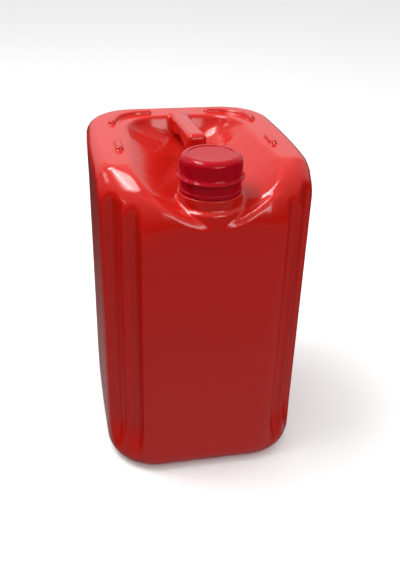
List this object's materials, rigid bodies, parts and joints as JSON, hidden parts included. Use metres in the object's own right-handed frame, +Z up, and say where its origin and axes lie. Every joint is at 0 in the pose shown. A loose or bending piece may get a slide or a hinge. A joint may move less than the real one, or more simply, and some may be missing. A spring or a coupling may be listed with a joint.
{
  "type": "plastic jerrycan",
  "caption": "Tall blow moulded plastic liquid can with grooved corners, a built-in top handle in a sloped dish, a screw cap and a tamper ring.",
  "frame": {"origin": "middle of the base, on the plane that the can stands on", "axes": "+Z up, -Y towards the neck and the front face, +X to the right as seen from the front"},
  "size_m": [0.251, 0.293, 0.4092],
  "materials": {
    "can_red": "satin moulded polyethylene",
    "cap_crimson": "glossy moulded plastic",
    "gasket_white": "soft foamed sheet"
  },
  "bodies": {
    "can": {"body": "can_red"},
    "ring": {"tamper_ring": "cap_crimson"},
    "seal": {"cap_gasket": "gasket_white"},
    "closure": {"cap": "cap_crimson"}
  },
  "joints": [
    {"name": "ring_turn", "type": "hinge", "parent": "can", "child": "ring", "pos_m": [0, -0.1035, 0.377], "axis": [0, 0, 1], "continuous": true},
    {"name": "cap_rise", "type": "slide", "parent": "can", "child": "seal", "axis": [0, 0, 1], "range_m": [0, 0.0271]},
    {"name": "cap_turn", "type": "hinge", "parent": "seal", "child": "closure", "pos_m": [0, -0.1035, 0.398], "axis": [0, 0, 1], "range_deg": [0, 1620]}
  ],
  "couplings": [
    {"joint": "cap_rise", "follows": "cap_turn", "m_per_rad": 0.00095493}
  ]
}
